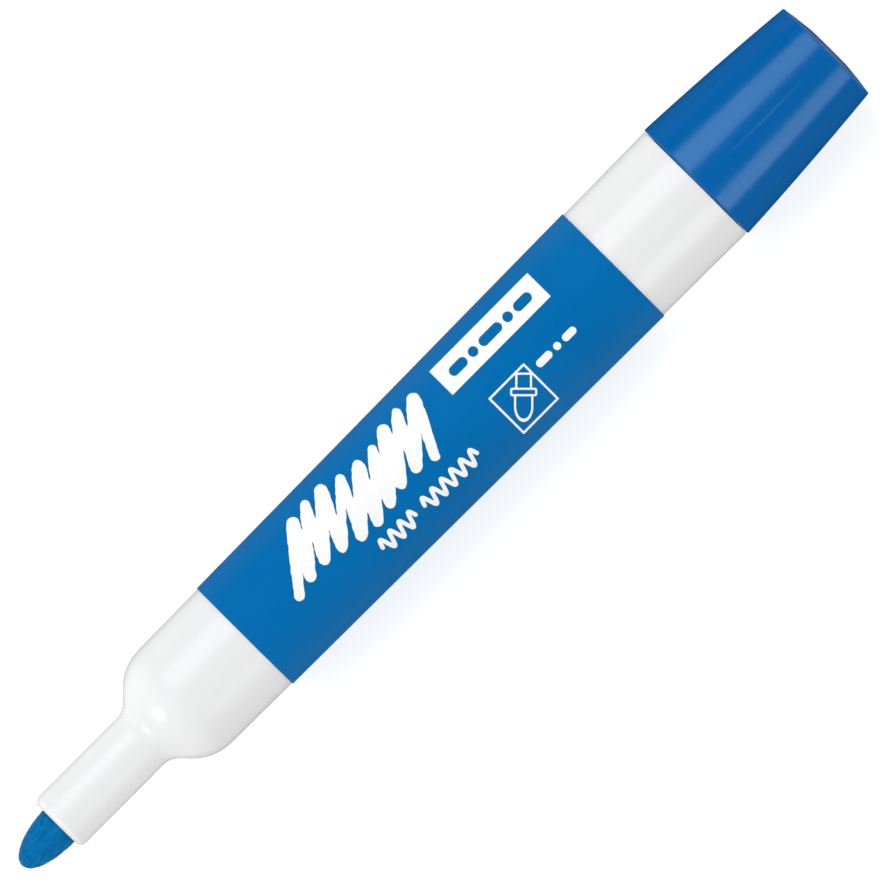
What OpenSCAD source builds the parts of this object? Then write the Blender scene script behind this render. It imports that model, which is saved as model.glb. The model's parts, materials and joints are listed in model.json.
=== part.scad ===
// Bullet felt tip marker lying on its side, with its cap pushed onto the plug at the rear end.
// X runs along the marker from the writing tip (-X) to the cap (+X), and +Z is up.
// The origin is the middle of the bounding box at its base, on the surface the marker lies on.
// Every module is drawn upright, with the writing tip at height 0, and laid down by lay_down().

/* [Writing end] */
// How far the nib stands out of the neck
nib_out = 6.3; // [4:0.1:8]
// Diameter of the nib
nib_d = 5.2; // [4.6:0.1:5.6]
// Length of the whole nib, most of it inside
nib_len = 33; // [30:1:40]
// Diameter of the neck, the seat of the cap's inner seal
neck_d = 7.7; // [7.4:0.05:8.2]
// Distance from the neck's front face to the foot of the shoulder
neck_len = 13.6; // [13:0.1:14.5]
// Radius of the neck's rounded front edge
neck_round = 0.9; // [0.4:0.1:1]

/* [Barrel] */
// Length of the barrel from the neck's front face to its rear rim
barrel_len = 105.2; // [105:0.1:112]
// Diameter of the barrel just behind the shoulder
barrel_front_d = 15.34; // [15.3:0.02:15.8]
// Diameter of the barrel at its rear rim
barrel_rear_d = 16.74; // [16.4:0.02:16.9]
// Radius of the fillet at the foot of the shoulder
shoulder_fillet = 2.6; // [1.6:0.1:2.8]
// Radius of the shoulder's rounded top
shoulder_round = 6.5; // [4:0.5:6.5]
// Slope of the shoulder
shoulder_slope = 47; // [45:1:48]
// Wall of the barrel behind the shoulder
barrel_wall = 1.26; // [1.2:0.02:1.3]

/* [Label] */
// Distance from the nib's tip to the label's front edge
label_start = 37.2; // [34:0.1:40]
// Length of the printed label
label_len = 60.8; // [50:0.1:62]
// Thickness of the label film
label_thick = 0.1; // [0.05:0.05:0.15]
// Thickness of the glue between the film and the barrel
label_glue = 0.03; // [0.03:0.01:0.05]

/* [Ink store] */
// Diameter of the ink reservoir with its film wrap
store_d = 12.6; // [12.2:0.1:12.6]
// Length of the ink reservoir
store_len = 75.2; // [70:0.1:75.2]
// Thickness of the reservoir's film wrap
wrap_thick = 0.1; // [0.05:0.05:0.2]

/* [Rear plug] */
// Diameter of the plug's spigot, which holds the cap
spigot_d = 13.6; // [13:0.1:13.6]
// Length of the spigot behind the barrel
spigot_len = 7.5; // [6:0.1:7.5]
// Depth of the plug inside the barrel
plug_in = 8; // [7:0.5:9]
// Wall of the plug
plug_wall = 1.1; // [0.9:0.1:1.3]

/* [Cap] */
// Length of the cap from its rim to its end face
cap_len = 21.97; // [21.9:0.01:23]
// Diameter over the cap's rim
cap_rim_d = 17.04; // [16.9:0.02:17.2]
// Diameter over the cap's closed end
cap_end_d = 14; // [13.8:0.1:14.4]
// Number of grooves along the cap's side
grooves = 6; // [4:1:8]
// Depth of the grooves
groove_depth = 0.07; // [0.05:0.01:0.1]
// Angle from the top to the nearest groove: the cap was pushed on a little turned
cap_turn = 1; // [1:1:59]
// Height of the low dome on the closed end
dome = 0.5; // [0.3:0.1:0.6]

/* [Hidden] */
$fn = 96;
eps = 0.01; // a cutting tool runs this far past the face that it cuts
arc_steps = 14; // straight pieces in an outline's arc
edge_steps = 4; // straight pieces in a small round on an edge

// Stations along the marker, measured from the nib's tip
neck_front = nib_out;
shoulder_foot = neck_front + neck_len;
barrel_rear = neck_front + barrel_len;
plug_step = barrel_rear - plug_in;
spigot_end = barrel_rear + spigot_len;
cap_gap = 0.1; // between the barrel's rear rim and the cap's rim
cap_rim = barrel_rear + cap_gap;
total_len = cap_rim + cap_len;

// Writing end
nib_r = nib_d / 2;
tip_hidden = 0.2; // the nib's elliptical tip runs this far into the neck
nib_point = nib_out + tip_hidden;
nib_chamfer = 0.5;
tip_steps = 24;
neck_r = neck_d / 2;
nib_fit = 0.05; // gap between the nib and the neck's bore
neck_bore_r = nib_r + nib_fit;
vent_count = 4; // air channels along the neck's bore
vent_turn = 45; // angle of the first channel
vent_w = 0.8;
vent_depth = 0.35;
vent_over = 1; // the channels run this far into the funnel

// Shoulder: a fillet, a straight slope and a rounded top, tangent to each other
barrel_front_r = barrel_front_d / 2;
barrel_rear_r = barrel_rear_d / 2;
fillet_rise = shoulder_fillet * (1 - cos(shoulder_slope));
round_rise = shoulder_round * (1 - cos(shoulder_slope));
slope_rise = barrel_front_r - neck_r - fillet_rise - round_rise;
shoulder_len = (shoulder_fillet + shoulder_round) * sin(shoulder_slope)
             + slope_rise / tan(shoulder_slope);
shoulder_top = shoulder_foot + shoulder_len;
rear_edge = 0.15; // small round on the barrel's rear rim

// Inside of the barrel
chamber_r = barrel_front_r - barrel_wall;
chamber_taper = 0.28; // the chamber is this much wider in radius at its rear end
chamber_rear_r = chamber_r + chamber_taper;
neck_bore_over = 0.4; // the neck's bore runs this far past the foot of the shoulder
funnel_len = 5;
funnel_start = shoulder_foot + neck_bore_over;
funnel_end = funnel_start + funnel_len;
plug_bore_r = 7.05; // straight bore for the plug

// Ink store
store_gap = 0.5; // between the funnel and the reservoir
store_start = funnel_end + store_gap;
store_end = store_start + store_len;
wrap_r = store_d / 2;
core_r = wrap_r - wrap_thick;

// Rear plug
spigot_r = spigot_d / 2;
plug_fit = 0.05; // gap between the plug and its bore
plug_r = plug_bore_r - plug_fit;
crush_bite = 0.03; // the crush rings bite this far into the barrel
crush_r = plug_bore_r + crush_bite;
crush_w = 0.6;
crush_at = [2, 5]; // distance of each crush ring from the plug's front end
spigot_edge = 0.6; // chamfer at the spigot's end
rib_t = 1;
rib_gap = 0.2; // between the reservoir and the plug's cross

// Cap
rim_r = cap_rim_d / 2;
end_r = cap_end_d / 2;
taper_curve = 0.33; // share of the cap's taper that grows with the square of the height
cap_side = cap_len - dome; // height of the sharp edge around the closed end
side_steps = 12; // straight pieces in the cap's tapered side
groove_mid = 11; // height of the middle of the grooves above the rim
groove_round = 3; // radius of the tool that leaves them
groove_tool = 30; // length of that tool
crown_r = 0.75 * end_r; // a ring half way up the dome
flat_r = 3; // radius of the flat in the middle of the closed end
gate_r = 1; // dimple left by the mould's gate
gate_depth = 0.3;
socket_fit = 0.05; // gap between the spigot and its socket
socket_r = spigot_r + socket_fit;
socket_len = 8;
socket_edge = 0.4; // lead-in at the socket's mouth
cap_top_wall = 1.1;
liner_seat_r = 5.9;

// Cap liner
liner_back = 0.1; // the liner's mouth lies this far behind the socket's end
liner_start = socket_len + liner_back;
liner_end = cap_len - cap_top_wall;
liner_wall = 0.95;
seal_fit = 0.025; // gap between the neck and the seal
liner_seal_r = neck_r + seal_fit;
liner_top = 0.5; // floor of the nib's chamber
nib_room = 0.3; // free space before the nib in the closed marker
liner_step = liner_end - liner_top - nib_out - nib_room;
liner_nib_r = 3.1;
liner_edge = 0.7; // lead-in at the seal's mouth
liner_ribs = 6;
liner_flange = 1;

// Points of an arc about [cx, cy], from angle a to angle b
function arc(cx, cy, r, a, b, n = arc_steps) =
    [for (i = [0 : n]) let (t = a + (b - a) * i / n) [cx + r * cos(t), cy + r * sin(t)]];

// Radius of the barrel's outside at height z behind the shoulder
function barrel_r(z) =
    barrel_front_r + (barrel_rear_r - barrel_front_r) * (z - shoulder_top) / (barrel_rear - shoulder_top);

// Radius of the cap's outside at height z above its rim, and how it changes there
function cap_r(z) =
    let (t = z / cap_side) rim_r - (rim_r - end_r) * ((1 - taper_curve) * t + taper_curve * t * t);
function cap_slope(z) =
    let (t = z / cap_side) -(rim_r - end_r) / cap_side * (1 - taper_curve + 2 * taper_curve * t);

// Lays an upright marker down along X, on the surface z = 0
module lay_down() {
    translate([-total_len / 2, 0, rim_r]) rotate([0, 90, 0]) children();
}

module tube(r_out, r_in, from, to) {
    translate([0, 0, from]) difference() {
        cylinder(r = r_out, h = to - from);
        translate([0, 0, -eps]) cylinder(r = r_in, h = to - from + 2 * eps);
    }
}

module hole(r, from, to) {
    translate([0, 0, from]) cylinder(r = r, h = to - from);
}

module barrel_outside() {
    fillet_r = neck_r + shoulder_fillet;
    top_r = barrel_front_r - shoulder_round;
    rotate_extrude() polygon(concat(
        [[0, neck_front]],
        arc(neck_r - neck_round, neck_front + neck_round, neck_round, -90, 0),
        arc(fillet_r, shoulder_foot, shoulder_fillet, 180, 180 - shoulder_slope),
        arc(top_r, shoulder_top, shoulder_round, -shoulder_slope, 0),
        arc(barrel_rear_r - rear_edge, barrel_rear - rear_edge, rear_edge, 0, 90, edge_steps),
        [[0, barrel_rear]]));
}

module barrel_inside() {
    hole(neck_bore_r, neck_front - eps, funnel_start + eps);
    rotate_extrude() polygon([
        [0, funnel_start],
        [neck_bore_r, funnel_start],
        [chamber_r, funnel_end],
        [chamber_rear_r, plug_step],
        [plug_bore_r, plug_step],
        [plug_bore_r, barrel_rear + eps],
        [0, barrel_rear + eps]]);
}

// White barrel with its shoulder and neck in one piece
module barrel() {
    color("white") lay_down() difference() {
        barrel_outside();
        barrel_inside();
        for (i = [0 : vent_count - 1])
            rotate([0, 0, vent_turn + i * 360 / vent_count])
                translate([neck_bore_r - vent_w / 2, -vent_w / 2, neck_front - eps])
                    cube([vent_w / 2 + vent_depth, vent_w, funnel_start - neck_front + vent_over]);
    }
}

// Printed film sleeve on its layer of glue round the tapered barrel
module label_film() {
    z1 = label_start;
    z2 = label_start + label_len;
    r1 = barrel_r(z1) + label_glue;
    r2 = barrel_r(z2) + label_glue;
    color("steelblue") lay_down() rotate_extrude() polygon([
        [r1, z1],
        [r1 + label_thick, z1],
        [r2 + label_thick, z2],
        [r2, z2]]);
}

// Fibre rod with a bullet tip
module nib() {
    tip = [for (i = [0 : tip_steps]) let (t = 90 * i / tip_steps) [nib_r * sin(t), nib_point * (1 - cos(t))]];
    color("royalblue") lay_down() rotate_extrude() polygon(concat(
        tip,
        [[nib_r, nib_len - nib_chamfer], [nib_r - nib_chamfer, nib_len], [0, nib_len]]));
}

// Fibre core that holds the ink, pierced by the rear of the nib
module ink_reservoir() {
    color("midnightblue") lay_down() difference() {
        hole(core_r, store_start, store_end);
        hole(nib_r, store_start - eps, nib_len);
    }
}

module reservoir_wrap() {
    color("lightgray") lay_down() tube(wrap_r, core_r, store_start, store_end);
}

// Hollow plug pressed into the barrel, with a spigot for the cap and a cross that holds the reservoir
module end_plug() {
    inner_r = spigot_r - plug_wall;
    floor_z = spigot_end - plug_wall;
    cross_z = store_end + rib_gap;
    color("dodgerblue") lay_down() {
        difference() {
            union() {
                hole(plug_r, plug_step, barrel_rear);
                hole(spigot_r, barrel_rear, spigot_end - spigot_edge);
                translate([0, 0, spigot_end - spigot_edge])
                    cylinder(r1 = spigot_r, r2 = spigot_r - spigot_edge, h = spigot_edge);
                for (d = crush_at)
                    hole(crush_r, plug_step + d, plug_step + d + crush_w);
            }
            hole(inner_r, plug_step - eps, floor_z);
        }
        intersection() {
            hole(inner_r, cross_z, floor_z);
            union() {
                translate([-inner_r, -rib_t / 2, cross_z]) cube([2 * inner_r, rib_t, floor_z - cross_z]);
                translate([-rib_t / 2, -inner_r, cross_z]) cube([rib_t, 2 * inner_r, floor_z - cross_z]);
            }
        }
    }
}

module cap_outside() {
    side = [for (j = [0 : side_steps]) let (z = cap_side * j / side_steps) [cap_r(z), z]];
    crown = [[crown_r, cap_side + dome / 2], [flat_r, cap_len], [0, cap_len]];
    rotate_extrude() polygon(concat([[0, 0]], side, crown));
}

// The tool for each groove is a long straight rod. The side bulges, so the groove runs out at both ends.
module groove_tools() {
    for (i = [0 : grooves - 1])
        rotate([0, 0, 180 + i * 360 / grooves])
            translate([cap_r(groove_mid) - groove_depth + groove_round, 0, groove_mid])
                rotate([0, atan(cap_slope(groove_mid)), 0])
                    cylinder(r = groove_round, h = groove_tool, center = true);
}

// Tapered outer shell of the cap, with grooves along its side
module cap_shell() {
    color("blue") lay_down() translate([0, 0, cap_rim]) rotate([0, 0, cap_turn]) difference() {
        cap_outside();
        groove_tools();
        hole(socket_r, -eps, socket_len);
        translate([0, 0, -eps]) cylinder(r1 = socket_r + socket_edge, r2 = socket_r, h = socket_edge);
        hole(liner_seat_r, socket_len - eps, liner_end);
        hole(gate_r, cap_len - gate_depth, cap_len + eps);
    }
}

// Inner seal: a ribbed cup that grips the neck and shuts off the nib when the marker is closed
module cap_liner() {
    tube_r = liner_seal_r + liner_wall;
    color("lightblue") lay_down() translate([0, 0, cap_rim]) rotate([0, 0, cap_turn]) difference() {
        union() {
            hole(tube_r, liner_start, liner_end);
            hole(liner_seat_r, liner_end - liner_flange, liner_end);
            intersection() {
                hole(liner_seat_r, liner_start + liner_edge, liner_end);
                for (i = [0 : liner_ribs / 2 - 1])
                    rotate([0, 0, i * 360 / liner_ribs])
                        translate([-liner_seat_r, -rib_t / 2, liner_start + liner_edge])
                            cube([2 * liner_seat_r, rib_t, liner_end - liner_start - liner_edge]);
            }
        }
        hole(liner_seal_r, liner_start - eps, liner_step);
        hole(liner_nib_r, liner_step - eps, liner_end - liner_top);
        translate([0, 0, liner_start - eps])
            cylinder(r1 = liner_seal_r + liner_edge, r2 = liner_seal_r, h = liner_edge);
    }
}

barrel();
label_film();
nib();
ink_reservoir();
reservoir_wrap();
end_plug();
cap_shell();
cap_liner();
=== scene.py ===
"""Looks of a bullet felt tip marker that lies on its side with its cap pushed onto the rear plug.

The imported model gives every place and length. A station is a distance in millimetres along the marker's
axis from the tip of the nib, a radius is a distance from that axis, and an angle of 0 degrees is the top,
growing towards +Y. The moulded pieces and the nib are turned about the axis from outlines, and the label
is a sheet of film with layers of ink on it.
"""

import json
import math
import random

import bmesh
import bpy
import numpy as np
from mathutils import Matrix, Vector, noise


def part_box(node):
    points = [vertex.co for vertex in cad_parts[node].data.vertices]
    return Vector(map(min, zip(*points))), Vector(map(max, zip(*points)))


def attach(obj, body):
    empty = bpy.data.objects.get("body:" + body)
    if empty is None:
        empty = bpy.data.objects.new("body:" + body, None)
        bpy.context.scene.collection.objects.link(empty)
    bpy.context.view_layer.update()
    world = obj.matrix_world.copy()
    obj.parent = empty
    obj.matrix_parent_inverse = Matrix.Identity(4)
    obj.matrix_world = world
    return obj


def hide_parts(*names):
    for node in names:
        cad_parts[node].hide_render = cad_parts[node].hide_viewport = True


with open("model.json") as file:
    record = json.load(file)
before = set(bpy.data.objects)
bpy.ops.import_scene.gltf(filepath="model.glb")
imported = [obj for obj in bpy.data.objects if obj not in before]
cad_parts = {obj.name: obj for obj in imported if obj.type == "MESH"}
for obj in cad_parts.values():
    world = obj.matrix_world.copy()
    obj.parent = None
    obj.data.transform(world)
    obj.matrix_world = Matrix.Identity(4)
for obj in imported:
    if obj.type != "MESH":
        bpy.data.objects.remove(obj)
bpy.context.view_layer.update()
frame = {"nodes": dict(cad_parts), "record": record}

# ---------------------------------------------------------------- sizes

MM = 0.001
BODY = "marker_body"
CAP = "cap"

TIP_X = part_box("nib")[0].x
AXIS_Z = (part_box("cap_shell")[0].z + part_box("cap_shell")[1].z) / 2


def station(x):
    """Distance from the nib's tip, in millimetres."""
    return (x - TIP_X) / MM


def span(node):
    """First and last station of a CAD node, and its largest radius, in millimetres."""
    lo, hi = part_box(node)
    return station(lo.x), station(hi.x), (hi.y - lo.y) / 2 / MM


_, NIB_END, NIB_R = span("nib")
NECK_FRONT, BARREL_REAR, BARREL_REAR_R = span("barrel")
LABEL_START, LABEL_END, _ = span("label_film")
PLUG_START, PLUG_END, _ = span("end_plug")
CAP_RIM, CAP_END, CAP_RIM_R = span("cap_shell")
_, LINER_END, LINER_SEAT_R = span("cap_liner")
NECK_MOUNT = next(m for m in frame["record"]["mounts"] if m["name"] == "neck")
NECK_R = NECK_MOUNT["dims"]["r_mm"]

# Writing end
NIB_POINT = NECK_FRONT + 0.2
NIB_LEAN = 0.4  # how far the worn tip leans to -Y
LEAN_LEN = 14.0  # station where the lean has died out
NECK_BORE_R = NIB_R + 0.05
NECK_ROUND = 0.9
VENT_COUNT = 4
VENT_W = 0.8
VENT_DEPTH = 0.35

# Barrel
SHOULDER_FOOT = NECK_FRONT + 13.6
SHOULDER_FILLET = 2.6
SHOULDER_ROUND = 6.5
SHOULDER_SLOPE = math.radians(47)
BARREL_FRONT_R = 7.67
BARREL_WALL = 1.26
CHAMBER_DRAFT = 0.28  # how much the chamber's radius grows from the funnel to the plug
PLUG_BORE_R = 7.05
FUNNEL_START = SHOULDER_FOOT + 0.4
FUNNEL_END = SHOULDER_FOOT + 5.4

# Label
FILM = 0.1
GLUE = 0.03
FILM_OVERLAP = math.radians(24)
INK = 0.02

# Plug
SPIGOT_R = 6.8
PLUG_WALL = 1.1
PLUG_DIMPLE_R = 2.0
PLUG_DIMPLE_DEPTH = 0.25

# Cap
CAP_LEN = CAP_END - CAP_RIM
CAP_END_R = 7.0
CAP_DOME = 0.5
CAP_SIDE = CAP_LEN - CAP_DOME
TAPER_CURVE = 0.33
GROOVES = 6
GROOVE_DEPTH = 0.07
GROOVE_ROUND = 2.2
GROOVE_MID = 11.0
GROOVE_TURN = math.radians(-1)  # the cap sits this far round from one groove being on top
SOCKET_R = SPIGOT_R + 0.05
SOCKET_LEN = 8.0
CAP_FLAT_R = 3.0
GATE_R = 1.0
GATE_DEPTH = 0.3

PICTURE_MIDDLE = 69.35  # station in the middle of the picture

AROUND = 240  # vertices round every turned piece
LONGEST = 2.0  # longest quad along a turned piece


def shoulder_top():
    """Station where the shoulder's round meets the barrel."""
    fillet_rise = SHOULDER_FILLET * (1 - math.cos(SHOULDER_SLOPE))
    round_rise = SHOULDER_ROUND * (1 - math.cos(SHOULDER_SLOPE))
    slope_rise = BARREL_FRONT_R - NECK_R - fillet_rise - round_rise
    run = (SHOULDER_FILLET + SHOULDER_ROUND) * math.sin(SHOULDER_SLOPE)
    return SHOULDER_FOOT + run + slope_rise / math.tan(SHOULDER_SLOPE)


SHOULDER_TOP = shoulder_top()


def barrel_r(z):
    """Outer radius of the tapered barrel."""
    t = (z - SHOULDER_TOP) / (BARREL_REAR - SHOULDER_TOP)
    return BARREL_FRONT_R + (BARREL_REAR_R - BARREL_FRONT_R) * t


# ---------------------------------------------------------------- geometry helpers


def place(z, r, a):
    """World point at a station, radius and angle."""
    return Vector((TIP_X + z * MM, r * math.sin(a) * MM, AXIS_Z + r * math.cos(a) * MM))


def smooth(t):
    t = min(1.0, max(0.0, t))
    return t * t * (3 - 2 * t)


def rounded(corners, steps=7):
    """An outline through (z, r, rounding) corners, with each corner replaced by an arc of that radius."""
    points = []
    for i, (z, r, rho) in enumerate(corners):
        if rho <= 0:
            points.append((z, r))
            continue
        here = Vector((z, r))
        before = (Vector(corners[i - 1][:2]) - here).normalized()
        after = (Vector(corners[(i + 1) % len(corners)][:2]) - here).normalized()
        half = before.angle(after) / 2
        reach = rho / math.tan(half)
        middle = here + (before + after).normalized() * (rho / math.sin(half))
        first = here + before * reach - middle
        last = here + after * reach - middle
        turn = first.angle_signed(last)
        count = max(2, math.ceil(abs(turn) / math.radians(90) * steps))
        for k in range(count + 1):
            t = -turn * k / count
            c, s = math.cos(t), math.sin(t)
            points.append((middle.x + first.x * c - first.y * s, middle.y + first.x * s + first.y * c))
    return points


def spaced(points, longest=LONGEST, closed=True):
    """The same outline with its long stretches cut into shorter ones."""
    out = []
    last = len(points) if closed else len(points) - 1
    for i in range(last):
        a, b = points[i], points[(i + 1) % len(points)]
        count = max(1, math.ceil(math.dist(a, b) / longest))
        out += [(a[0] + (b[0] - a[0]) * k / count, a[1] + (b[1] - a[1]) * k / count) for k in range(count)]
    if not closed:
        out.append(points[-1])
    return out


def finish_mesh(name, bm, material, body, sharp=35):
    """Turns a bmesh into a smooth-shaded piece that rides on a body."""
    bmesh.ops.recalc_face_normals(bm, faces=bm.faces)
    mesh = bpy.data.meshes.new(name)
    bm.to_mesh(mesh)
    bm.free()
    mesh.polygons.foreach_set("use_smooth", [True] * len(mesh.polygons))
    mesh.set_sharp_from_angle(angle=math.radians(sharp))
    piece = bpy.data.objects.new(name, mesh)
    bpy.context.scene.collection.objects.link(piece)
    mesh.materials.append(material)
    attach(piece, body)
    return piece


def turned_bmesh(outline, angles=None, radius=None, closed=True):
    """Turns an outline about the axis. radius(z, r, angle) may reshape it; a radius of 0 makes a pole."""
    bm = bmesh.new()
    angles = angles or [2 * math.pi * k / AROUND for k in range(AROUND)]
    around = len(angles)
    rings = []
    for z, r in outline:
        if r <= 1e-6:
            rings.append([bm.verts.new(place(z, 0, 0))])
            continue
        rings.append([bm.verts.new(place(z, radius(z, r, a) if radius else r, a)) for a in angles])
    pairs = list(zip(rings, rings[1:]))
    if closed:
        pairs.append((rings[-1], rings[0]))
    for one, two in pairs:
        if len(one) == 1 and len(two) == 1:
            continue
        for k in range(around):
            n = (k + 1) % around
            if len(one) == 1:
                bm.faces.new((one[0], two[k], two[n]))
            elif len(two) == 1:
                bm.faces.new((one[k], two[0], one[n]))
            else:
                bm.faces.new((one[k], two[k], two[n], one[n]))
    return bm


# ---------------------------------------------------------------- materials


class Shader:
    """A Principled material and short ways to add the nodes that feed it."""

    def __init__(self, name):
        self.material = bpy.data.materials.new(name)
        self.material.use_nodes = True
        self.tree = self.material.node_tree
        self.bsdf = next(n for n in self.tree.nodes if n.type == "BSDF_PRINCIPLED")
        self.place = self.node("ShaderNodeTexCoord").outputs["Object"]

    def node(self, kind, **settings):
        n = self.tree.nodes.new(kind)
        for key, value in settings.items():
            setattr(n, key, value)
        return n

    def link(self, out, socket):
        self.tree.links.new(out, socket)

    def set(self, **values):
        for key, value in values.items():
            self.bsdf.inputs[key.replace("_", " ")].default_value = value

    def stretched(self, scale):
        m = self.node("ShaderNodeMapping")
        m.inputs["Scale"].default_value = scale
        self.link(self.place, m.inputs["Vector"])
        return m.outputs["Vector"]

    def noise(self, scale, detail=4, roughness=0.55, stretch=(1, 1, 1)):
        n = self.node("ShaderNodeTexNoise")
        n.inputs["Scale"].default_value = scale
        n.inputs["Detail"].default_value = detail
        n.inputs["Roughness"].default_value = roughness
        self.link(self.stretched(stretch), n.inputs["Vector"])
        return n.outputs["Fac"]

    def ramp(self, source, stops):
        n = self.node("ShaderNodeValToRGB")
        ramp = n.color_ramp
        while len(ramp.elements) < len(stops):
            ramp.elements.new(0.5)
        for element, (at, colour) in zip(ramp.elements, stops):
            element.position = at
            element.color = (*colour, 1)
        self.link(source, n.inputs["Fac"])
        return n.outputs["Color"]

    def range(self, source, low, high, start=0.0, end=1.0):
        n = self.node("ShaderNodeMapRange")
        n.inputs["From Min"].default_value = start
        n.inputs["From Max"].default_value = end
        n.inputs["To Min"].default_value = low
        n.inputs["To Max"].default_value = high
        self.link(source, n.inputs["Value"])
        return n.outputs["Result"]

    def maths(self, operation, a, b=0.0):
        n = self.node("ShaderNodeMath", operation=operation)
        for socket, value in zip(n.inputs, (a, b)):
            if isinstance(value, (int, float)):
                socket.default_value = value
            else:
                self.link(value, socket)
        return n.outputs[0]

    def mix(self, factor, a, b):
        n = self.node("ShaderNodeMix", data_type="RGBA")
        for socket, value in ((n.inputs[0], factor), (n.inputs[6], a), (n.inputs[7], b)):
            if isinstance(value, tuple):
                socket.default_value = (*value, 1)
            elif isinstance(value, (int, float)):
                socket.default_value = value
            else:
                self.link(value, socket)
        return n.outputs[2]

    def axis(self, letter):
        n = self.node("ShaderNodeSeparateXYZ")
        self.link(self.place, n.inputs[0])
        return n.outputs[letter]

    def bump(self, *layers):
        """Bumps from (height, distance in metres, strength) layers."""
        normal = None
        for height, distance, strength in layers:
            n = self.node("ShaderNodeBump")
            n.inputs["Distance"].default_value = distance
            n.inputs["Strength"].default_value = strength
            self.link(height, n.inputs["Height"])
            if normal:
                self.link(normal, n.inputs["Normal"])
            normal = n.outputs["Normal"]
        self.link(normal, self.bsdf.inputs["Normal"])

    def colour(self, source):
        self.link(source, self.bsdf.inputs["Base Color"])

    def rough(self, source):
        self.link(source, self.bsdf.inputs["Roughness"])


def parting_line(s, width=0.06):
    """1 along the mould's two parting lines, which run along the marker at the height of its axis."""
    off = s.maths("ABSOLUTE", s.maths("SUBTRACT", s.axis("Z"), AXIS_Z))
    return s.range(off, 1.0, 0.0, 0.0, width * MM)


def scratches(s, scale=1600):
    """Thin handling marks, mostly along the marker."""
    fine = s.noise(scale, detail=2, stretch=(0.02, 1, 1))
    return s.range(fine, 0.0, 1.0, 0.58, 0.8)


def moulded_white():
    """Glossy white polypropylene, slightly milky, with a faint skin texture and handling marks."""
    s = Shader("white_polypropylene")
    s.set(IOR=1.37, Subsurface_Weight=0.1, Subsurface_Scale=0.002)
    s.bsdf.inputs["Subsurface Radius"].default_value = (1.0, 0.95, 0.9)
    cloud = s.noise(55, detail=3)
    base = s.ramp(cloud, [(0.3, (0.845, 0.848, 0.856)), (0.7, (0.865, 0.866, 0.87))])
    inked = s.range(s.axis("X"), 0.22, 0.0, TIP_X + NECK_FRONT * MM, TIP_X + (NECK_FRONT + 0.35) * MM)
    speckle = s.range(s.noise(2600, detail=3), 0.0, 1.0, 0.42, 0.68)
    s.colour(s.mix(s.maths("MULTIPLY", inked, speckle), base, (0.03, 0.2, 0.5)))
    marks = scratches(s)
    s.rough(s.maths("ADD", s.range(s.noise(240), 0.2, 0.24), s.maths("MULTIPLY", marks, 0.02)))
    s.bump((s.noise(700, detail=2), 0.00001, 0.15), (parting_line(s), 0.00002, 0.4))
    return s.material


def moulded_blue(name, light, dark):
    """Glossy blue polypropylene with slight flow marks and scuffed roughness."""
    s = Shader(name)
    s.set(IOR=1.4, Specular_Tint=(0.62, 0.9, 1.0, 1.0))
    flow = s.noise(70, detail=4, stretch=(0.3, 1, 1))
    s.colour(s.ramp(flow, [(0.3, dark), (0.7, light)]))
    marks = scratches(s)
    s.rough(s.maths("ADD", s.range(s.noise(200), 0.19, 0.25), s.maths("MULTIPLY", marks, 0.05)))
    s.bump((s.noise(900, detail=2), 0.00001, 0.2))
    return s.material


def printed_film():
    """Satin blue film with the fine screen of a print and a slight waviness."""
    s = Shader("printed_film")
    s.set(IOR=1.18, Specular_Tint=(0.2, 0.6, 1.0, 1.0))
    cloud = s.noise(60, detail=3)
    grain = s.noise(5200, detail=1)
    base = s.ramp(cloud, [(0.3, (0.0, 0.145, 0.42)), (0.7, (0.002, 0.158, 0.45))])
    s.colour(s.mix(s.range(grain, 0.0, 0.16, 0.35, 0.7), base, (0.0, 0.1, 0.3)))
    s.rough(s.maths("ADD", s.range(s.noise(300), 0.46, 0.56), s.maths("MULTIPLY", scratches(s), 0.1)))
    s.bump((s.noise(420, detail=2), 0.00002, 0.25))
    return s.material


def printed_white():
    """Opaque white ink, a little dry and uneven where it lies on the film."""
    s = Shader("printed_white")
    s.set(IOR=1.5)
    s.colour(s.ramp(s.noise(1800, detail=3), [(0.3, (0.93, 0.94, 0.945)), (0.7, (0.98, 0.98, 0.98))]))
    s.rough(s.range(s.noise(900), 0.42, 0.55))
    s.bump((s.noise(3000, detail=2), 0.00001, 0.3))
    return s.material


def felt(name, light, dark, along=0.12):
    """Bundled fibres soaked in ink, which run along the nib."""
    s = Shader(name)
    s.set(IOR=1.12, Sheen_Weight=0.02, Sheen_Roughness=0.6)
    strands = s.noise(5200, detail=4, stretch=(along, 1, 1))
    patches = s.noise(900, detail=3)
    tone = s.maths("ADD", s.maths("MULTIPLY", strands, 0.6), s.maths("MULTIPLY", patches, 0.4))
    s.colour(s.ramp(tone, [(0.34, dark), (0.62, light)]))
    s.rough(s.range(strands, 0.72, 0.95))
    s.bump((patches, 0.00006, 0.5), (strands, 0.00005, 0.7))
    return s.material


def soft_liner():
    """Natural polyethylene, milky and slightly waxy."""
    s = Shader("liner_polyethylene")
    s.set(IOR=1.51, Subsurface_Weight=0.35, Subsurface_Scale=0.0015)
    s.colour(s.ramp(s.noise(90, detail=3), [(0.3, (0.5, 0.64, 0.8)), (0.7, (0.6, 0.72, 0.84))]))
    s.rough(s.range(s.noise(400), 0.38, 0.5))
    s.bump((s.noise(1500, detail=2), 0.00002, 0.3))
    return s.material


def clear_film():
    """Thin film round the ink store."""
    s = Shader("wrap_film")
    s.set(IOR=1.5)
    s.colour(s.ramp(s.noise(120), [(0.3, (0.6, 0.68, 0.78)), (0.7, (0.72, 0.78, 0.84))]))
    s.rough(s.range(s.noise(500), 0.2, 0.35))
    return s.material


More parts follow.
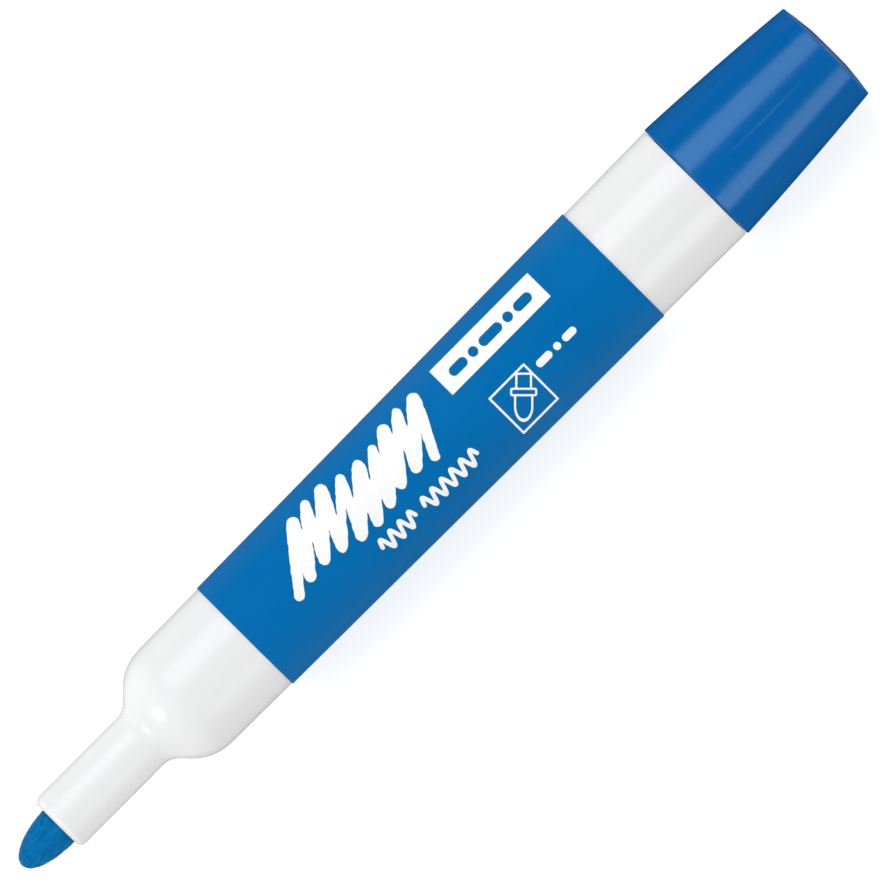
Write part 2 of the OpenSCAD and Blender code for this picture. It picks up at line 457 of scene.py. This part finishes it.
WHITE = moulded_white()
CAP_BLUE = moulded_blue("cap_polypropylene", (0.0, 0.128, 0.43), (0.0, 0.118, 0.4))
PLUG_BLUE = moulded_blue("plug_polypropylene", (0.0, 0.124, 0.42), (0.0, 0.112, 0.385))
FILM_BLUE = printed_film()
PRINT_WHITE = printed_white()
NIB_FELT = felt("nib_felt", (0.0, 0.19, 0.47), (0.0, 0.12, 0.33))
STORE_FELT = felt("store_fibre", (0.0, 0.1, 0.3), (0.0, 0.05, 0.18))
LINER = soft_liner()
WRAP = clear_film()

# ---------------------------------------------------------------- barrel


def vented(z, r, a):
    """Cuts the air channels into the wall of the neck's bore."""
    if r > NECK_BORE_R + 0.01 or z > FUNNEL_START:
        return r
    step = 2 * math.pi / VENT_COUNT
    off = abs(a % step - step / 2)
    return r + VENT_DEPTH if off * r < VENT_W / 2 else r


def slope_corner(start_r, end_r):
    """Stations of the two corners where the shoulder's slope meets the neck and the barrel."""
    foot = SHOULDER_FOOT + SHOULDER_FILLET * math.tan(SHOULDER_SLOPE / 2)
    return foot, foot + (end_r - start_r) / math.tan(SHOULDER_SLOPE)


def make_barrel():
    """White body with its shoulder and neck, hollow, with the bore for the nib."""
    chamber_r = BARREL_FRONT_R - BARREL_WALL
    foot, top = slope_corner(NECK_R, BARREL_FRONT_R)
    outline = rounded([
        (NECK_FRONT, NECK_BORE_R, 0.0),
        (NECK_FRONT, NECK_R, NECK_ROUND),
        (foot, NECK_R, SHOULDER_FILLET),
        (top, barrel_r(top), SHOULDER_ROUND),
        (BARREL_REAR, BARREL_REAR_R, 0.15),
        (BARREL_REAR, PLUG_BORE_R, 0.1),
        (PLUG_START, PLUG_BORE_R, 0.05),
        (PLUG_START, chamber_r + CHAMBER_DRAFT, 0.05),
        (FUNNEL_END, chamber_r, 1.0),
        (FUNNEL_START, NECK_BORE_R, 0.0),
    ], steps=14)
    bm = turned_bmesh(spaced(outline), radius=vented)
    piece = finish_mesh("barrel_moulding", bm, WHITE, BODY)
    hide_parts("barrel")


# ---------------------------------------------------------------- label


def label_r(z):
    """Outer radius of the printed film."""
    return barrel_r(z) + GLUE + FILM


def make_label():
    """One sheet of film wrapped round the barrel, with its end lapped over its start underneath."""
    bm = bmesh.new()
    count_a, count_z = 300, 30
    start = math.pi - FILM_OVERLAP / 2
    turn = 2 * math.pi + FILM_OVERLAP
    climb = math.radians(5)
    sheets = []
    for side in (0.0, 1.0):
        rows = []
        for j in range(count_z + 1):
            z = LABEL_START + (LABEL_END - LABEL_START) * j / count_z
            row = []
            for i in range(count_a + 1):
                gone = turn * i / count_a
                lift = smooth((gone - (turn - FILM_OVERLAP - climb)) / climb)
                r = barrel_r(z) + GLUE + FILM * (side + lift)
                row.append(bm.verts.new(place(z, r, start + gone)))
            rows.append(row)
        sheets.append(rows)
    low, high = sheets
    for j in range(count_z):
        for i in range(count_a):
            bm.faces.new((low[j][i], low[j + 1][i], low[j + 1][i + 1], low[j][i + 1]))
            bm.faces.new((high[j][i], high[j][i + 1], high[j + 1][i + 1], high[j + 1][i]))
    for j in range(count_z):
        for i in (0, count_a):
            bm.faces.new((low[j][i], low[j + 1][i], high[j + 1][i], high[j][i]))
    for i in range(count_a):
        for j in (0, count_z):
            bm.faces.new((low[j][i], low[j][i + 1], high[j][i + 1], high[j][i]))
    piece = finish_mesh("label_sleeve", bm, FILM_BLUE, BODY)
    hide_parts("label_film")


# ---------------------------------------------------------------- print on the label

# A mark is a signed distance in millimetres, negative inside. Its x runs from the label's front edge
# along the marker, and its y is the sideways distance from the middle of the printed front.


def stroke(x, y, path, width):
    """Distance to a round-ended stroke along a path of points; width may vary from point to point."""
    best = np.full(x.shape, 1e9)
    widths = width if isinstance(width, list) else [width] * len(path)
    for (ax, ay), (bx, by), wa, wb in zip(path, path[1:], widths, widths[1:]):
        dx, dy = bx - ax, by - ay
        length = max(dx * dx + dy * dy, 1e-12)
        t = np.clip(((x - ax) * dx + (y - ay) * dy) / length, 0, 1)
        gap = np.hypot(x - ax - t * dx, y - ay - t * dy) - (wa + (wb - wa) * t) / 2
        best = np.minimum(best, gap)
    return best


def panel(x, y, x0, x1, y0, y1, corner=0.0):
    """Distance to a rectangle with rounded corners."""
    dx = np.abs(x - (x0 + x1) / 2) - (x1 - x0) / 2 + corner
    dy = np.abs(y - (y0 + y1) / 2) - (y1 - y0) / 2 + corner
    outside = np.hypot(np.maximum(dx, 0), np.maximum(dy, 0))
    return outside + np.minimum(np.maximum(dx, dy), 0) - corner


def curve_through(points, steps=14):
    """A smooth path through a few points."""
    out = []
    for i in range(len(points) - 1):
        p0 = points[max(i - 1, 0)]
        p1, p2 = points[i], points[i + 1]
        p3 = points[min(i + 2, len(points) - 1)]
        for k in range(steps):
            t = k / steps
            out.append(tuple(
                0.5 * (2 * b + (c - a) * t + (2 * a - 5 * b + 4 * c - d) * t * t
                       + (3 * b - a - 3 * c + d) * t ** 3)
                for a, b, c, d in zip(p0, p1, p2, p3)))
    out.append(points[-1])
    return out


def scribble(x, y):
    """A patch of close back-and-forth marker strokes."""
    count = 19
    corners = []
    for i in range(count):
        side = 1 if i % 2 else -1
        reach = 3.1 + 0.65 * math.sin(2.6 * i + 0.4)
        corners.append((9.9 + 22.6 * i / (count - 1) + 2.1 * side, 2.1 + reach * side))
    path = curve_through(corners, steps=18)
    last = len(path) - 1
    widths = [1.2 + 0.2 * math.sin(9.1 * i / last * math.pi) for i in range(last + 1)]
    ragged = np.array([noise.noise(Vector((u * 1.6, v * 1.6, 3.7))) for u, v in zip(x.flat, y.flat)])
    return stroke(x, y, path, widths) + 0.09 * ragged.reshape(x.shape)


def bars(x, y, start, middle, height, lengths, gap):
    """A row of round-ended bars."""
    best = np.full(x.shape, 1e9)
    half = height / 2
    at = start
    for length in lengths:
        best = np.minimum(best, panel(x, y, at, at + length, middle - half, middle + half, half))
        at += length + gap
    return best


def wave(x, y, start, length, middle, swing, waves, width):
    """A wavy pen line."""
    path = []
    for t in np.linspace(0, 1, 90):
        path.append((start + length * t, middle + swing * math.sin(2 * math.pi * waves * t)))
    return stroke(x, y, path, width)


def pen_lines(x, y):
    """Two wavy pen lines under the scribble."""
    middle, swing, width = -4.15, 0.85, 0.5
    first = wave(x, y, 18.6, 5.4, middle, swing, 3.5, width)
    second = wave(x, y, 25.5, 8.6, middle, swing, 5.5, width)
    return np.minimum(first, second)


def bar_panel(x, y):
    """A solid panel with a row of bars left clear."""
    x0, x1, y0, y1 = 36.9, 53.05, 2.6, 6.45
    clear = bars(x, y, x0 + 1.5, (y0 + y1) / 2 - 0.05, 1.25, (2.6, 1.25, 3.4, 1.25, 2.6), 0.52)
    return np.maximum(panel(x, y, x0, x1, y0, y1), -clear)


def tip_sign(x, y):
    """A square frame with the outline of a bullet tip that points to its corner."""
    x0, x1, y0, y1 = 39.6, 45.2, -6.35, -0.75
    cx, cy = (x0 + x1) / 2, (y0 + y1) / 2
    frame_area = panel(x, y, x0, x1, y0, y1)
    square = np.abs(frame_area) - 0.13
    along = ((x - cx) + (y - cy)) / math.sqrt(2)
    across = ((x - cx) - (y - cy)) / math.sqrt(2)
    tip = np.hypot(np.minimum(along + 0.9, 0) * 0.62, across) - 1.0
    tip = np.maximum(tip, along - 0.4)
    collar = panel(along, across, 0.4, 1.15, -1.45, 1.45, 0.15)
    stem = panel(along, across, 1.15, 2.9, -0.85, 0.85)
    sign = np.minimum(np.abs(tip), np.minimum(np.abs(collar), np.abs(stem))) - 0.12
    return np.minimum(square, np.maximum(sign, frame_area))


def note_bars(x, y):
    """A row of short bars beside the tip sign."""
    return bars(x, y, 46.2, -2.0, 0.95, (2.3, 0.95, 2.0), 0.5)


def make_mark(name, mark, x0, x1, y0, y1, step=0.13):
    """Meshes a mark on a fine grid, clipped along its edge, and wraps it onto the label as a layer of ink."""
    xs = np.arange(x0, x1 + step, step)
    ys = np.arange(y0, y1 + step, step)
    gx, gy = np.meshgrid(xs, ys, indexing="ij")
    value = mark(gx, gy)
    bm = bmesh.new()
    corner, crossing = {}, {}

    def vertex(x, y, lift):
        z = LABEL_START + x
        r = label_r(z) + lift
        return bm.verts.new(place(z, r, math.asin(max(-0.999, min(0.999, y / r)))))

    def at_corner(i, j, lift):
        key = (i, j, lift)
        if key not in corner:
            corner[key] = vertex(xs[i], ys[j], lift)
        return corner[key]

    def at_crossing(p, q, lift):
        key = (min(p, q), max(p, q), lift)
        if key not in crossing:
            a, b = value[p], value[q]
            t = a / (a - b)
            x = xs[p[0]] + (xs[q[0]] - xs[p[0]]) * t
            y = ys[p[1]] + (ys[q[1]] - ys[p[1]]) * t
            crossing[key] = vertex(x, y, lift)
        return crossing[key]

    for i in range(len(xs) - 1):
        for j in range(len(ys) - 1):
            cell = [(i, j), (i + 1, j), (i + 1, j + 1), (i, j + 1)]
            inside = [value[c] < 0 for c in cell]
            if not any(inside):
                continue
            top, side = [], []
            for k in range(4):
                p, q = cell[k], cell[(k + 1) % 4]
                if inside[k]:
                    top.append(at_corner(*p, INK))
                if inside[k] != inside[(k + 1) % 4]:
                    top.append(at_crossing(p, q, INK))
                    side.append((p, q))
            bm.faces.new(top)
            if len(side) == 2:
                (p, q), (u, v) = side
                bm.faces.new((at_crossing(p, q, INK), at_crossing(u, v, INK),
                              at_crossing(u, v, 0.0), at_crossing(p, q, 0.0)))
    piece = finish_mesh(name, bm, PRINT_WHITE, BODY, sharp=60)


def make_print():
    make_mark("print_scribble", scribble, 5.5, 36.5, -6.2, 7.3)
    make_mark("print_pen_lines", pen_lines, 17.9, 34.8, -5.7, -2.6, step=0.1)
    make_mark("print_bar_panel", bar_panel, 36.5, 53.45, 2.2, 6.9, step=0.1)
    make_mark("print_tip_sign", tip_sign, 39.2, 45.6, -6.7, -0.4, step=0.07)
    make_mark("print_note_bars", note_bars, 45.8, 53.4, -3.0, -1.0, step=0.1)


# ---------------------------------------------------------------- nib


def lean(z):
    """How far the worn tip of the nib leans to one side, in millimetres."""
    return NIB_LEAN * max(0.0, 1 - z / LEAN_LEN)


def make_nib():
    """Felt rod with a bullet tip, slightly uneven, with short fibre ends standing off it."""
    steps = 60
    tip = []
    for i in range(steps + 1):
        t = math.pi / 2 * i / steps
        tip.append((NIB_POINT * (1 - math.cos(t)), NIB_R * math.sin(t)))
    outline = tip + [(NIB_END - 0.5, NIB_R), (NIB_END, NIB_R - 0.5), (NIB_END, 0)]

    def worn(z, r, a):
        if z > NECK_FRONT:
            return r
        fine = noise.noise(Vector((z * 1.5, 3.4 * math.cos(a) * r / NIB_R, 3.4 * math.sin(a) * r / NIB_R)))
        coarse = noise.noise(Vector((z * 0.5 + 9, 1.1 * math.cos(a), 1.1 * math.sin(a))))
        return r - 0.02 + (0.018 * fine + 0.02 * coarse) * min(1, r)

    bm = turned_bmesh(spaced(outline, 1.0, closed=False), radius=worn, closed=False)
    for vertex in bm.verts:
        vertex.co.y -= lean(station(vertex.co.x)) * MM
    piece = finish_mesh("felt_nib", bm, NIB_FELT, BODY)
    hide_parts("nib")
    make_fuzz(piece)


def make_fuzz(nib):
    """Short loose fibres that lie close to the nib's surface."""
    rng = random.Random(7)
    bm = bmesh.new()
    for _ in range(700):
        t = math.acos(1 - rng.uniform(0.02, 0.93))
        z = NIB_POINT * (1 - math.cos(t))
        r = NIB_R * math.sin(t) - 0.03
        a = rng.uniform(0, 2 * math.pi)
        length = rng.uniform(0.25, 0.6)
        swing = rng.uniform(-0.5, 0.5)
        lift = rng.uniform(0.0, 0.05)
        points = []
        for k in range(4):
            u = k / 3
            rise = 0.03 + lift * math.sin(math.pi * u)
            zz = z + length * u * math.cos(swing)
            tt = math.acos(max(-1, min(1, 1 - zz / NIB_POINT)))
            turn = a + length * u * math.sin(swing) / max(r, 0.4)
            points.append(place(zz, NIB_R * math.sin(tt) + rise - 0.02, turn) - Vector((0, lean(zz) * MM, 0)))
        add_thread(bm, points, 0.011 * MM)
    fuzz = finish_mesh("felt_nib_fibres", bm, NIB_FELT, BODY)


def add_thread(bm, points, radius, sides=3):
    """A thin closed tube along a few points."""
    rings = []
    for i, p in enumerate(points):
        ahead = (points[min(i + 1, len(points) - 1)] - points[max(i - 1, 0)]).normalized()
        side = ahead.orthogonal().normalized()
        up = ahead.cross(side)
        ring = []
        for k in range(sides):
            turn = 2 * math.pi * k / sides
            ring.append(bm.verts.new(p + (side * math.cos(turn) + up * math.sin(turn)) * radius))
        rings.append(ring)
    for one, two in zip(rings, rings[1:]):
        for k in range(sides):
            n = (k + 1) % sides
            bm.faces.new((one[k], one[n], two[n], two[k]))
    bm.faces.new(list(reversed(rings[0])))
    bm.faces.new(rings[-1])


# ---------------------------------------------------------------- rear plug


def make_plug():
    """Hollow blue plug: a body pressed into the barrel and a spigot behind it for the cap."""
    inner_r = SPIGOT_R - PLUG_WALL
    body_r = PLUG_BORE_R - 0.05
    outline = rounded([
        (PLUG_END - PLUG_WALL, 0.0, 0.0),
        (PLUG_END - PLUG_WALL, inner_r, 0.3),
        (PLUG_START, inner_r, 0.1),
        (PLUG_START, body_r, 0.3),
        (BARREL_REAR, body_r, 0.05),
        (BARREL_REAR, SPIGOT_R, 0.05),
        (PLUG_END, SPIGOT_R, 0.6),
        (PLUG_END, PLUG_DIMPLE_R + 0.2, 0.1),
        (PLUG_END - PLUG_DIMPLE_DEPTH, PLUG_DIMPLE_R, 0.1),
        (PLUG_END - PLUG_DIMPLE_DEPTH, 0.0, 0.0),
    ], steps=8)
    bm = turned_bmesh(spaced(outline, closed=False), closed=False)
    piece = finish_mesh("rear_plug", bm, PLUG_BLUE, BODY)
    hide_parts("end_plug")


# ---------------------------------------------------------------- cap


def cap_r(h):
    """Radius of the cap's outside at a height above its rim."""
    t = h / CAP_SIDE
    return CAP_RIM_R - (CAP_RIM_R - CAP_END_R) * ((1 - TAPER_CURVE) * t + TAPER_CURVE * t * t)


def cap_slope(h):
    """How fast the cap's radius changes with the height above its rim."""
    t = h / CAP_SIDE
    return (CAP_END_R - CAP_RIM_R) / CAP_SIDE * (1 - TAPER_CURVE + 2 * TAPER_CURVE * t)


def grooved(z, r, a):
    """Presses the grooves into the cap's outside: each one is the path of a long straight rod."""
    h = z - CAP_RIM
    if r < cap_r(min(max(h, 0), CAP_SIDE)) - 0.3:
        return r
    step = 2 * math.pi / GROOVES
    off = (a - GROOVE_TURN + step / 2) % step - step / 2
    rod = cap_r(GROOVE_MID) - GROOVE_DEPTH + GROOVE_ROUND + cap_slope(GROOVE_MID) * (h - GROOVE_MID)
    room = GROOVE_ROUND ** 2 - (rod * math.sin(off)) ** 2
    return min(r, rod * math.cos(off) - math.sqrt(room)) if room > 0 else r


def groove_angles():
    """Angles round the cap, close together across the grooves and wider apart between them."""
    half = 180 / GROOVES
    offsets = list(np.arange(-6, 6, 0.5)) + list(np.arange(6, 2 * half - 6, 2.0))
    return [GROOVE_TURN + math.radians(2 * half * i + off) for i in range(GROOVES) for off in offsets]


def make_cap():
    """Tapered blue shell with grooves, open at the rim, with the socket for the plug inside."""
    edge = 1.35  # height of the guide point that gives the rim's rounding its direction
    side = [(CAP_RIM + h, cap_r(h)) for h in np.linspace(0.35, CAP_SIDE - 0.3, 90)]
    inside = rounded([
        (LINER_END, 0.0, 0.0),
        (LINER_END, LINER_SEAT_R, 0.3),
        (CAP_RIM + SOCKET_LEN, LINER_SEAT_R, 0.1),
        (CAP_RIM + SOCKET_LEN, SOCKET_R, 0.1),
        (CAP_RIM + 0.4, SOCKET_R, 0.2),
        (CAP_RIM, SOCKET_R + 0.4, 0.12),
        (CAP_RIM, CAP_RIM_R, 0.22),
        (CAP_RIM + edge, cap_r(edge), 0.0),
    ])[:-1]
    end = rounded([
        (side[-1][0], side[-1][1], 0.0),
        (CAP_RIM + CAP_SIDE, CAP_END_R, 0.22),
        (CAP_RIM + CAP_SIDE + CAP_DOME * 0.5, CAP_END_R * 0.75, 3.0),
        (CAP_END, CAP_FLAT_R, 1.0),
        (CAP_END, GATE_R, 0.08),
        (CAP_END - GATE_DEPTH, GATE_R, 0.08),
        (CAP_END - GATE_DEPTH, 0.0, 0.0),
    ])[1:]
    outline = spaced(inside, closed=False) + side + spaced(end, 1.0, closed=False)
    bm = turned_bmesh(outline, angles=groove_angles(), radius=grooved, closed=False)
    piece = finish_mesh("cap_moulding", bm, CAP_BLUE, CAP)
    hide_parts("cap_shell")


# ---------------------------------------------------------------- pieces that keep their CAD shape


def paint(node, material):
    """Gives a CAD node its material."""
    slots = frame["nodes"][node].data.materials
    slots.clear()
    slots.append(material)


# ---------------------------------------------------------------- studio


def make_floor():
    """A wide pale table under the marker."""
    s = Shader("pale_table")
    s.set(Emission_Color=(1, 1, 0.96, 1), Emission_Strength=0.62)
    s.colour(s.ramp(s.noise(3, detail=2), [(0.3, (0.59, 0.59, 0.59)), (0.7, (0.61, 0.61, 0.61))]))
    s.rough(s.range(s.noise(8), 0.75, 0.85))
    bm = bmesh.new()
    bmesh.ops.create_circle(bm, cap_ends=True, radius=6.0, segments=96)
    mesh = bpy.data.meshes.new("table_top")
    bm.to_mesh(mesh)
    bm.free()
    floor = bpy.data.objects.new("table_top", mesh)
    mesh.materials.append(s.material)
    bpy.context.scene.collection.objects.link(floor)
    floor.visible_glossy = False


def make_light(name, azimuth, from_top, distance, tall, wide, radiance, colour=(1, 1, 1), mirrored=True):
    """A soft box aimed at the marker, with its size as the angles it spans when seen from there.

    azimuth is measured from +Y towards +X, and from_top from straight up. A light that is not mirrored
    leaves no highlight.
    """
    light = bpy.data.lights.new(name, "AREA")
    light.shape = "RECTANGLE"
    light.size = 2 * distance * math.tan(math.radians(tall / 2))
    light.size_y = 2 * distance * math.tan(math.radians(wide / 2))
    light.energy = radiance * math.pi * light.size * light.size_y
    light.color = colour
    a, t = math.radians(azimuth), math.radians(from_top)
    way = Vector((math.sin(t) * math.sin(a), math.sin(t) * math.cos(a), math.cos(t)))
    lamp = bpy.data.objects.new(name, light)
    lamp.location = way * distance
    lamp.rotation_mode = "QUATERNION"
    lamp.rotation_quaternion = way.to_track_quat("Z", "X")
    lamp.visible_glossy = mirrored
    bpy.context.scene.collection.objects.link(lamp)


def make_world(around, across, below):
    """A pale tent, darker below the table and in the band over the marker, where the soft boxes hang."""
    world = bpy.data.worlds.new("studio")
    world.use_nodes = True
    tree = world.node_tree
    where = tree.nodes.new("ShaderNodeTexCoord")
    split = tree.nodes.new("ShaderNodeSeparateXYZ")
    off = tree.nodes.new("ShaderNodeMath")
    off.operation = "ABSOLUTE"
    band = tree.nodes.new("ShaderNodeMapRange")
    band.interpolation_type = "SMOOTHSTEP"
    band.inputs["From Min"].default_value = 0.2
    band.inputs["From Max"].default_value = 0.5
    band.inputs["To Min"].default_value = across
    band.inputs["To Max"].default_value = around
    above = tree.nodes.new("ShaderNodeMapRange")
    above.inputs["From Min"].default_value = -0.1
    above.inputs["From Max"].default_value = 0.1
    above.inputs["To Min"].default_value = below
    product = tree.nodes.new("ShaderNodeMath")
    product.operation = "MULTIPLY"
    tree.links.new(where.outputs["Generated"], split.inputs[0])
    tree.links.new(split.outputs["X"], off.inputs[0])
    tree.links.new(split.outputs["Z"], above.inputs["Value"])
    tree.links.new(off.outputs[0], band.inputs["Value"])
    tree.links.new(band.outputs["Result"], product.inputs[0])
    tree.links.new(above.outputs["Result"], product.inputs[1])
    tree.nodes["Background"].inputs["Color"].default_value = (1, 0.995, 0.965, 1)
    tree.links.new(product.outputs[0], tree.nodes["Background"].inputs["Strength"])
    bpy.context.scene.world = world


def make_camera():
    """Looks straight down through a long lens, rolled so that the cap points to the upper right."""
    frame_width = 0.1023  # metres of the marker's plane across the picture
    roll = math.radians(45.19)
    camera = bpy.data.cameras.new("camera")
    camera.sensor_width = 36
    camera.lens = 1600
    distance = frame_width * camera.lens / camera.sensor_width
    eye = bpy.data.objects.new("camera", camera)
    eye.location = (TIP_X + PICTURE_MIDDLE * MM, -0.04 * MM, AXIS_Z + distance)
    eye.rotation_euler = (0, 0, -roll)
    camera.clip_end = 100
    bpy.context.scene.collection.objects.link(eye)
    bpy.context.scene.camera = eye


def make_studio():
    make_floor()
    make_world(0.61, 0.01, 0.9)
    make_light("key_softbox", 8, 37.5, 0.8, 39, 34, 3.5, (0.98, 0.985, 1.0))
    make_light("fill_softbox", 170, 56, 0.8, 31, 24, 3.4)
    make_light("nib_softbox", -82, 71, 0.7, 19, 15, 9.0, (0.97, 0.98, 1.0))
    make_light("top_softbox", 0, 0, 0.8, 60, 60, 0.42, (0.97, 0.985, 1.0), mirrored=False)
    make_camera()
    bpy.context.scene.view_settings.view_transform = "Standard"


make_barrel()
make_label()
make_print()
make_nib()
make_plug()
make_cap()
paint("cap_liner", LINER)
paint("ink_reservoir", STORE_FELT)
paint("reservoir_wrap", WRAP)
make_studio()
